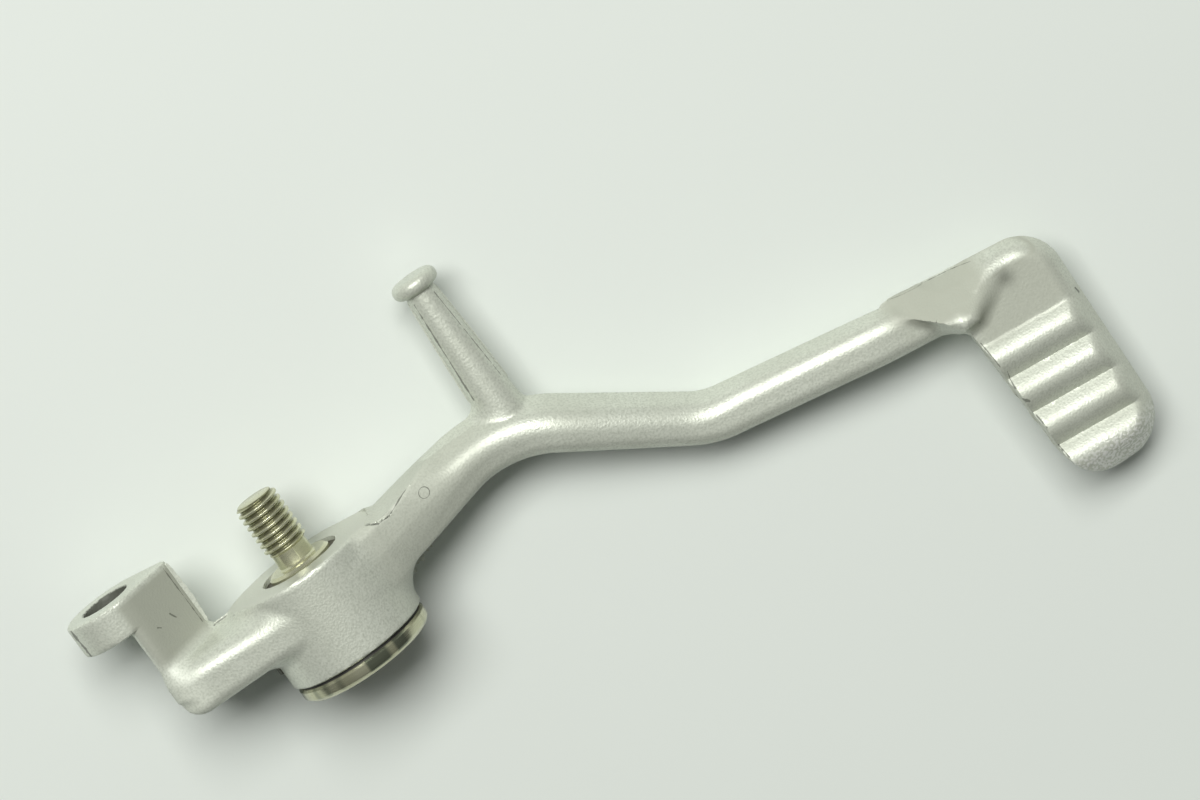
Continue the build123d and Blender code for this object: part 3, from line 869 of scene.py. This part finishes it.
def lathe(radii, heights):
    """Rings about the Y axis, closed round the seam, with a fan to one point at each end."""
    rows, columns = radii.shape
    angle = np.linspace(0, 2 * pi, columns, endpoint=False)
    levels = np.broadcast_to(heights[:, None], radii.shape)
    ring = np.stack([radii * np.sin(angle), levels, radii * np.cos(angle)], axis=2).reshape(-1, 3)
    poles = np.array([[0, heights[0], 0], [0, heights[-1], 0]])
    column = np.arange(columns)
    after = (column + 1) % columns
    first = np.stack([np.full(columns, rows * columns), after, column], axis=1)
    base = (rows - 1) * columns
    last = np.stack([np.full(columns, rows * columns + 1), base + column, base + after], axis=1)
    return np.concatenate([ring, poles]), tube(rows, columns).tolist() + first.tolist() + last.tolist()


def bolt_surface():
    """Rows from the bottom of the socket round the head, along the journal and out to the thread's end."""
    angle = np.linspace(0, 2 * pi, BOLT_COLUMNS, endpoint=False)
    hexagon_row = hexagon(angle, SOCKET_FLATS)
    rows = [(0.5 * hexagon_row, HEAD_OUTER + SOCKET_DEPTH + 0.6), (hexagon_row, HEAD_OUTER + SOCKET_DEPTH)]
    rows += [(hexagon_row, HEAD_OUTER + 0.4), (hexagon_row + 0.35, HEAD_OUTER)]
    profile = [
        (HEAD_RADIUS - OUTER_CHAMFER - 0.15, HEAD_OUTER),
        (HEAD_RADIUS - OUTER_CHAMFER, HEAD_OUTER + 0.06),
        (HEAD_RADIUS - 0.06, HEAD_OUTER + OUTER_CHAMFER - 0.05),
        (HEAD_RADIUS, HEAD_OUTER + OUTER_CHAMFER + 0.08),
        (HEAD_RADIUS, HEAD_INNER - INNER_CHAMFER - 0.05),
        (HEAD_RADIUS - INNER_CHAMFER, HEAD_INNER),
        (JOURNAL_RADIUS + 0.3, HEAD_INNER),
        (JOURNAL_RADIUS, HEAD_INNER + 0.3),
        (JOURNAL_RADIUS, -JOURNAL_CHAMFER),
        (JOURNAL_RADIUS - JOURNAL_CHAMFER, 0.0),
        (NECK_RADIUS + 0.3, 0.0),
        (NECK_RADIUS, 0.3),
    ]
    rows += [(np.full(BOLT_COLUMNS, r), y) for r, y in profile]
    places = np.linspace(NECK_END - THREAD_RUN_IN, THREAD_END - 0.05, THREAD_ROWS)
    rows += [(thread_radius(y, angle), y) for y in places]
    rows += [(np.full(BOLT_COLUMNS, THREAD_RADIUS - THREAD_CHAMFER - 0.1), THREAD_END)]
    radii, heights = zip(*rows)
    return lathe(np.stack(radii), np.array(heights))


bolt = make_piece("turned_bolt", *bolt_surface(), "pivot", "zinc_plated_steel", ["pivot_bolt"])

# %% [markdown]
# Silver paint on a sand-grained casting has a fine grain, slow patches of tone from handling and a few
# dark chips. A picture would bring its own scale and light, so these are noises and the middles of random
# cells.

# %% Grain and specks of the paint
GRAIN_SCALE, GRAIN_DETAIL = 2500.0, 2.0
PATCHES = (90.0, 4.0, 0.35, 0.68)
SPECK_SCALE, SPECK_SIZE = 420.0, 0.10
THINNING, THINNED_ABOVE = (120.0, 2.0), 0.76


def grain_group():
    """Grain of a casting: a height from a fine noise, and patches from a slow one."""
    group, given, result = new_group("cast_grain", {"Scale": GRAIN_SCALE}, ("Height", "Patches"))
    place = own_place(group)
    feed(group, result, Patches=noise(group, place, *PATCHES))
    feed(group, result, Height=noise(group, place, given["Scale"], GRAIN_DETAIL))
    return group


def speck_group():
    """Scattered dark specks: the middles of random cells, thinned by a slow noise."""
    group, _, result = new_group("specks", {}, ("Mask",))
    place = own_place(group)
    cells = add_node(group, "ShaderNodeTexVoronoi", {"Vector": place, "Scale": SPECK_SCALE})
    dot = maths(group, "LESS_THAN", cells.outputs["Distance"], SPECK_SIZE)
    chosen = maths(group, "GREATER_THAN", noise(group, place, *THINNING), THINNED_ABOVE)
    feed(group, result, Mask=times(group, dot, chosen))
    return group


CAST_GRAIN = grain_group()
SPECKS = speck_group()
print("grain and specks ready")

# %% [markdown]
# Thin dark lines on the upper side: cracks and burr lines, lines along the fins of the post, the eye's end
# and the pad's rear edge, and the ring of an ejector pin. Each is a line in plan whose width wavers, so that
# it looks torn. The boss's machined face is found by its place.

# %% Lines in plan and the machined face
LINE_WIDTH = 0.0003
LINE_EDGE = (0.45, 0.75)
WAVER = (700.0, 2.0, 0.3, 0.7, 0.1, 1.6)
TOP_SIDE = -0.002
UPWARD = (0.25, 0.40)
FACED_SLICE = 0.0001


def line_group():
    """Mark by a straight line in plan, or at a radius round it: the gap over a wavering width, on top."""
    inputs = {"Start": (0, 0, 0), "End": (1, 0, 0), "Width": LINE_WIDTH, "Radius": 0.0}
    group, given, result = new_group("plan_line", inputs, ("Mask",))
    place = own_place(group)
    away = vectors(group, "SUBTRACT", vectors(group, "MULTIPLY", place, (1, 1, 0)), given["Start"])
    run = vectors(group, "SUBTRACT", given["End"], given["Start"])
    along, whole = (vectors(group, "DOT_PRODUCT", way, run) for way in (away, run))
    share = maths(group, "DIVIDE", along, whole, clamp=True)
    gap = vectors(group, "DISTANCE", away, vectors(group, "MULTIPLY", run, share))
    gap = maths(group, "ABSOLUTE", maths(group, "SUBTRACT", gap, given["Radius"]))
    width = times(group, given["Width"], noise(group, place, *WAVER))
    near = span(group, maths(group, "DIVIDE", gap, width), *LINE_EDGE, 1.0, 0.0)
    high = maths(group, "GREATER_THAN", split(group, place)[2], TOP_SIDE)
    normal = add_node(group, "ShaderNodeNewGeometry").outputs["Normal"]
    upward = times(group, high, span(group, split(group, normal)[2], *UPWARD))
    feed(group, result, Mask=times(group, near, upward))
    return group


def axis_radius(tree, place):
    """Distance of a place from the pivot axis."""
    return vectors(tree, "LENGTH", vectors(tree, "MULTIPLY", place, (1, 0, 1)))


def faced_group():
    """Machined face of the boss: one on a thin slice at the facing cut, inside its radius."""
    group, _, result = new_group("faced_ring", {}, ("Mask",))
    place = own_place(group)
    gap = maths(group, "SUBTRACT", split(group, place)[1], BOSS_INNER * MM)
    level = maths(group, "LESS_THAN", maths(group, "ABSOLUTE", gap), FACED_SLICE)
    inside = maths(group, "LESS_THAN", axis_radius(group, place), FACING_RADIUS * MM)
    feed(group, result, Mask=times(group, level, inside))
    return group


PLAN_LINE = line_group()
FACED_RING = faced_group()
print("lines and machined face ready")

# %% [markdown]
# Paint is dull on the gusset, the step, the dish and parts of the arm, matt beside the boss, and worn to
# bright crumbs at the pad's end. Shade is painted as well: the dull places are darker, and the eye's bore, a
# spot at the foot of the gusset's wall, the step and the crease behind the gusset are darkened towards black.
# Each place is a plain region, so it needs no painting by hand: it is a product of ramps along the axes,
# kept as an attribute of the mesh.

# %% Where the paint is dull, worn and matt, and where shade is painted
STEP = 0.001
# axis, start and length of each ramp: a negative length falls, and STEP gives a hard edge
REGIONS = {
    "gusset_face": (("x", 105, 3), ("z", -0.5, STEP)),
    "gusset_strip": (("x", 105, 3), ("x", 127, -4), ("z", -1, STEP)),
    "gusset_wall": (("x", 106, 2), ("x", 113, -1.5), ("y", -23.5, -STEP), ("z", 2.2, 0.8)),
    "crease": (("x", 107.5, 1.5), ("x", 115, -2), ("z", 0.5, STEP)),
    "pad_floor": (("x", 117, 3), ("x", 136, -3), ("y", -39.5, 2), ("y", -27.5, -1.5), ("z", 2.2, STEP)),
    "pad_end": (("y", -62, -3), ("z", 0, STEP)),
    "ribs": (("x", 116, STEP), ("y", -36.5, -2)),
    "shade_spot": (("z", 1, STEP),),
    "step": (("x", -29.4, 1.2), ("x", -18.8, -STEP), ("y", -1.8, 2), ("y", 12.6, -0.8), ("z", 0.5, STEP)),
    "beside_boss": (("x", 9, 4), ("x", 31, -5), ("z", 0, STEP)),
    "first_run": (("x", 9, 4), ("x", 43, -8), ("y", 1.5, -STEP)),
    "elbow": (("x", -23, -3), ("y", 2, -STEP), ("z", 0, STEP)),
}
FACE_DEPTH = 0.3
STRIP_WIDTH = 4.0
# Painted shade goes along this crease behind the gusset, into a spot at the foot of the gusset's wall in the
# dish, and into the eye's bore out to a thin rim.
CREASE_LINE, CREASE_WIDTH = ((108.7, -25.0), (113.4, -32.6)), 0.9
SHADE_SPOT_PLACE, SHADE_SPOT_SIZE = (127.2, -29.6), (1.6, 1.5)
INNER_HALF = (-0.2, 0.8)
HOLE_RIM = 0.25


def paint_masks(points):
    """Shares of dull and shaded paint, of painted shade, of worn and of matt paint: regions, some with a bell
    of a distance.
    """
    x, y, z = points.T
    axes = dict(zip("xyz", points.T))
    part = {name: np.prod([ramp(axes[axis], start, over) for axis, start, over in limits], axis=0)
            for name, limits in REGIONS.items()}
    face = part["gusset_face"] * np.exp(-(gusset_top(x, y, z) / FACE_DEPTH) ** 2)
    strip = part["gusset_strip"] * (left_of(x, y, *GUSSET_INNER) > -STRIP_WIDTH)
    crease = part["crease"] * np.exp(-(left_of(x, y, *CREASE_LINE) / CREASE_WIDTH) ** 2)
    shade_spot = np.hypot((x - SHADE_SPOT_PLACE[0]) / SHADE_SPOT_SIZE[0], (y - SHADE_SPOT_PLACE[1]) / SHADE_SPOT_SIZE[1])
    shade_spot = part["shade_spot"] * np.exp(-shade_spot**2)
    inner_half = part["beside_boss"] * ramp(left_of(x, y, *ARM_PLAN[:2]), *INNER_HALF)
    hole = (np.hypot(x - EYE_X, z) < EYE_HOLE + HOLE_RIM) & (y > EYE_OUTER)
    # The dull share makes the paint rougher and less metallic, and it also darkens it: that darkening is
    # painted shade on the step, the gusset, the dish, the ribs and the arm's first run.
    dull_and_shade = (face, 0.95 * strip, 0.75 * part["pad_floor"], part["step"], 0.15 * part["ribs"],
            part["gusset_wall"], 0.4 * inner_half, 0.5 * part["first_run"])
    # This share is painted shade, darkened towards black: the eye's bore, the spot at the wall's foot, the
    # step and the crease.
    painted_shade = (1.3 * hole, 0.75 * shade_spot, 0.24 * part["step"], 0.12 * crease)
    matt = (inner_half, 0.8 * part["elbow"])
    masks = {"dull_and_shade": dull_and_shade, "painted_shade": painted_shade, "worn": (part["pad_end"],), "matt": matt}
    return {name: np.max(shares, axis=0) for name, shares in masks.items()}


for name, values in paint_masks(lever_points).items():
    layer = lever.data.attributes.new(name, "FLOAT", "POINT")
    layer.data.foreach_set("value", np.ascontiguousarray(values, dtype=np.float32))
    print(name, "paint on", int((values > 0).sum()), "points")

# %% [markdown]
# The paint is one satin shader, partly metallic from its flakes. Its tone is built up in layers, some of them
# painted shade, and where it is dull, matt, marked or painted with shade it is also rougher and less
# metallic.
# A clear coat would gleam too sharply.

# %% Cast paint
PAINT_COLOUR = (0.71, 0.745, 0.655, 1)
PAINT_DULL = (0.645, 0.675, 0.585, 1)
PAINT_GRAIN = (0.525, 0.555, 0.475, 1)
# The next two colours carry painted shade: the first darkens the dull places, the second is the near black of
# the specks and dark lines and of the shade painted in the bore, the spot, the step and the crease.
DULL_SHADE_COLOUR = (0.45, 0.47, 0.395, 1)
MARK_AND_SHADE_COLOUR = (0.055, 0.06, 0.045, 1)
FACED_COLOUR = (0.58, 0.60, 0.52, 1)
WORN_COLOUR = (0.86, 0.875, 0.83, 1)
PAINT_IOR = 1.5
GRAIN_RANGE = (0.40, 0.75)
GRAIN_STRENGTH, GRAIN_DEPTH = 0.55, 0.0001
CRUMB_SCALE = 1900.0
CRUMB_RANGE = (0.46, 0.56)
CRUMB_HEIGHT = 0.7
# strength of the dark marks and of the painted shade
MARK_AND_SHADE_STRENGTH = 0.7
GLOSSY, GLOSSIER, SOFT_ROUGHNESS = 0.42, 0.36, 0.14
METALLIC, SOFT_METALLIC = 0.32, 0.28
EJECTOR = ((24.5, -2.2), (24.501, -2.2), 0.10, 0.95)
# start, end and width of each dark line: cracks and burr lines, and lines along the fins of the post, the
# eye's end and the pad's rear edge
DARK_PLAN_LINES = (
    ((-37.9, 12.7), (-37.6, 7.3), 0.40),
    ((-22.6, 5.6), (-22.1, 4.4), 0.24),
    ((-25.4, 5.2), (-25.0, 4.8), 0.22),
    ((-19.3, 12.2), (-19.2, 0.8), 0.18),
    ((-18.0, -0.9), (-13.9, -0.9), 0.18),
    ((13.4, -0.6), (15.3, -1.6), 0.30),
    ((15.3, -1.6), (17.6, -1.6), 0.20),
    ((17.6, -1.6), (20.4, -0.5), 0.16),
    ((20.4, -0.5), (24.0, 0.7), 0.12),
    ((107.0, -21.7), (124.0, -24.3), 0.07),
    ((41.3, 24.3), (40.3, 5.0), 0.20),
    ((45.4, 24.3), (46.6, 6.0), 0.10),
    ((117.4, -36.6), (117.7, -41.6), 0.20),
    ((118.4, -43.2), (117.9, -46.4), 0.26),
    ((117.9, -48.6), (118.6, -49.6), 0.36),
    ((118.4, -52.6), (118.6, -55.2), 0.20),
    ((118.8, -59.4), (119.0, -61.8), 0.26),
    ((136.4, -38.6), (136.6, -39.6), 0.26),
)


def dark_lines(tree):
    """Masks of the dark lines, which have no radius, and of the ejector's ring."""
    masks = []
    for start, end, width, radius in [(*plan_mark, 0.0) for plan_mark in DARK_PLAN_LINES] + [EJECTOR]:
        first, last = ([v * MM for v in point] + [0] for point in (start, end))
        line = place_group(tree, PLAN_LINE, Start=first, End=last, Width=width * MM, Radius=radius * MM)
        masks.append(line["Mask"])
    return masks


def cast_paint():
    """Satin silver paint: grain, patches, specks, worn places and dark lines, and darker dull places and
    hollows as painted shade.
    """
    material, tree, shader = new_material("silver_cast_paint", IOR=PAINT_IOR)
    grain = place_group(tree, CAST_GRAIN)
    dull_and_shade, painted_shade, worn, matt = (add_node(tree, "ShaderNodeAttribute", attribute_name=name).outputs["Fac"]
                              for name in ("dull_and_shade", "painted_shade", "worn", "matt"))
    crumbs = place_group(tree, CAST_GRAIN, Scale=CRUMB_SCALE)["Height"]
    sparkle = times(tree, worn, span(tree, crumbs, *CRUMB_RANGE))
    marks_and_shade = largest(tree, place_group(tree, SPECKS)["Mask"], painted_shade, *dark_lines(tree))
    tone = blend(tree, grain["Patches"], PAINT_DULL, PAINT_COLOUR)
    tone = blend(tree, span(tree, grain["Height"], *GRAIN_RANGE), tone, PAINT_GRAIN)
    # painted shade on the dull places
    tone = blend(tree, dull_and_shade, tone, DULL_SHADE_COLOUR)
    tone = blend(tree, place_group(tree, FACED_RING)["Mask"], tone, FACED_COLOUR)
    tone = blend(tree, sparkle, tone, WORN_COLOUR)
    # dark marks, and painted shade in the bore, the spot, the step and the crease
    tone = blend(tree, times(tree, marks_and_shade, MARK_AND_SHADE_STRENGTH), tone, MARK_AND_SHADE_COLOUR)
    soft = largest(tree, dull_and_shade, matt, marks_and_shade)
    rough = span(tree, grain["Patches"], 0.0, 1.0, GLOSSY, GLOSSIER)
    rough = maths(tree, "ADD", rough, times(tree, soft, SOFT_ROUGHNESS))
    metal = maths(tree, "SUBTRACT", METALLIC, times(tree, soft, SOFT_METALLIC), clamp=True)
    height = maths(tree, "ADD", grain["Height"], times(tree, sparkle, CRUMB_HEIGHT))
    inputs = {"Height": height, "Strength": GRAIN_STRENGTH, "Distance": GRAIN_DEPTH}
    bump = add_node(tree, "ShaderNodeBump", inputs).outputs["Normal"]
    feed(tree, shader, Base_Color=tone, Roughness=rough, Metallic=metal, Normal=bump)
    return material


paint = cast_paint()
lever.data.materials.append(paint)
flash.data.materials.append(paint)
print("lever painted, with", len(DARK_PLAN_LINES), "cracks and nicks")

# %% [markdown]
# The bolt is yellow zinc on steel. Turning leaves fine rings, so the bump is a noise that changes only
# with the radius and the place along the axis. Dark blocks round the head's rim are a painted reflection,
# and the thread's roots are darkened as painted shade.

# %% Turned metal
RINGS, RING_RANGE, RING_DEPTH = (1500.0, 3.0), (0.3, 0.7), 0.0002
BANDS = (180.0, 3.0, 0.35, 0.65)
# blocks round the axis, for the painted reflection on the head's rim
BLOCK_SCALE, BLOCK_DETAIL, BLOCK_RANGE = 2.6, 1.0, (0.48, 0.58)
ROUGHNESS_SPREAD = (0.8, 1.2)
RIM_FROM = 0.0125
# the thread's roots are darkened as painted shade
THREAD_ROOT_SHADE, ROOT_SHADE_SHORT = (0.0034, 0.0037), 0.1
ROOT_SHADE_COLOUR = (0.26, 0.26, 0.155, 1)


def turning_group():
    """Rings from the lathe: noise of the radius and of the place along the pivot axis, and blocks round the
    axis for a painted reflection.
    """
    outputs = ("Height", "Bands", "Radius", "Along", "Blocks")
    group, _, result = new_group("turning_rings", {}, outputs)
    place = own_place(group)
    x, along, z = split(group, place)
    radius = axis_radius(group, place)
    rings = add_node(group, "ShaderNodeCombineXYZ", {0: radius, 1: along}).outputs[0]
    inputs = {"W": maths(group, "ARCTAN2", x, z), "Scale": BLOCK_SCALE, "Detail": BLOCK_DETAIL}
    blocks = add_node(group, "ShaderNodeTexNoise", inputs, noise_dimensions="1D").outputs["Fac"]
    feed(group, result, Height=noise(group, rings, *RINGS), Bands=noise(group, place, *BANDS),
         Radius=radius, Along=along, Blocks=span(group, blocks, *BLOCK_RANGE))
    return group


TURNING = turning_group()


def turned_metal(name, light, dark, metallic, roughness, strength, rim=None):
    """Metal with lathe rings and slow patches between two tones; with a rim colour, a painted reflection in
    blocks round a head's rim and painted shade in the thread's roots.
    """
    material, tree, shader = new_material(name, Metallic=metallic)
    rings = place_group(tree, TURNING)
    tone = blend(tree, rings["Bands"], dark, light)
    if rim:
        # painted reflection: dark blocks round the head's rim
        outside = maths(tree, "GREATER_THAN", rings["Radius"], RIM_FROM)
        tone = blend(tree, times(tree, outside, rings["Blocks"]), tone, rim)
        # painted shade in the thread's roots
        root = span(tree, rings["Radius"], *THREAD_ROOT_SHADE, 1.0, 0.0)
        beyond = maths(tree, "GREATER_THAN", rings["Along"], NECK_END * MM)
        short = maths(tree, "LESS_THAN", rings["Along"], (THREAD_END - ROOT_SHADE_SHORT) * MM)
        tone = blend(tree, times(tree, root, times(tree, beyond, short)), tone, ROOT_SHADE_COLOUR)
    spread = [roughness * factor for factor in ROUGHNESS_SPREAD]
    rough = span(tree, rings["Height"], *RING_RANGE, *spread)
    inputs = {"Height": rings["Height"], "Strength": strength, "Distance": RING_DEPTH}
    bump = add_node(tree, "ShaderNodeBump", inputs).outputs["Normal"]
    feed(tree, shader, Base_Color=tone, Roughness=rough, Normal=bump)
    return material


print("turned metal ready")

# %% [markdown]
# The bushes, the pin and the washer keep the plain solids, because little of them shows. They take the
# same turned metal in their own tones: aged bronze, dark steel, and black with a little dust.

# %% Dress the bolt and the small pieces
ZINC_COLOUR, ZINC_DULL = (0.68, 0.68, 0.50, 1), (0.56, 0.56, 0.39, 1)
# colour of the painted reflection round the head's rim
RIM_REFLECTION = (0.20, 0.22, 0.16, 1)
BRONZE_COLOUR, BRONZE_DARK = (0.10, 0.085, 0.05, 1), (0.03, 0.028, 0.02, 1)
PIN_LIGHT, PIN_COLOUR = (0.22, 0.22, 0.19, 1), (0.10, 0.105, 0.085, 1)
WASHER_DUST, WASHER_COLOUR = (0.05, 0.05, 0.045, 1), (0.012, 0.012, 0.012, 1)


def dress(node_name, material):
    """Give a CAD node's object the material in every slot."""
    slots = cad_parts[node_name].data.materials
    if len(slots) == 0:
        slots.append(material)
    for i in range(len(slots)):
        slots[i] = material


bolt.data.materials.append(turned_metal("yellow_zinc", ZINC_COLOUR, ZINC_DULL, 0.75, 0.24, 0.03, RIM_REFLECTION))
bronze = turned_metal("aged_bronze", BRONZE_COLOUR, BRONZE_DARK, 0.8, 0.45, 0.2)
dress("inner_bush", bronze)
dress("outer_bush", bronze)
dress("stop_pin", turned_metal("dark_pin_steel", PIN_LIGHT, PIN_COLOUR, 0.9, 0.4, 0.2))
dress("thrust_washer", turned_metal("black_washer", WASHER_DUST, WASHER_COLOUR, 0.0, 0.6, 0.1))
print("small pieces dressed")
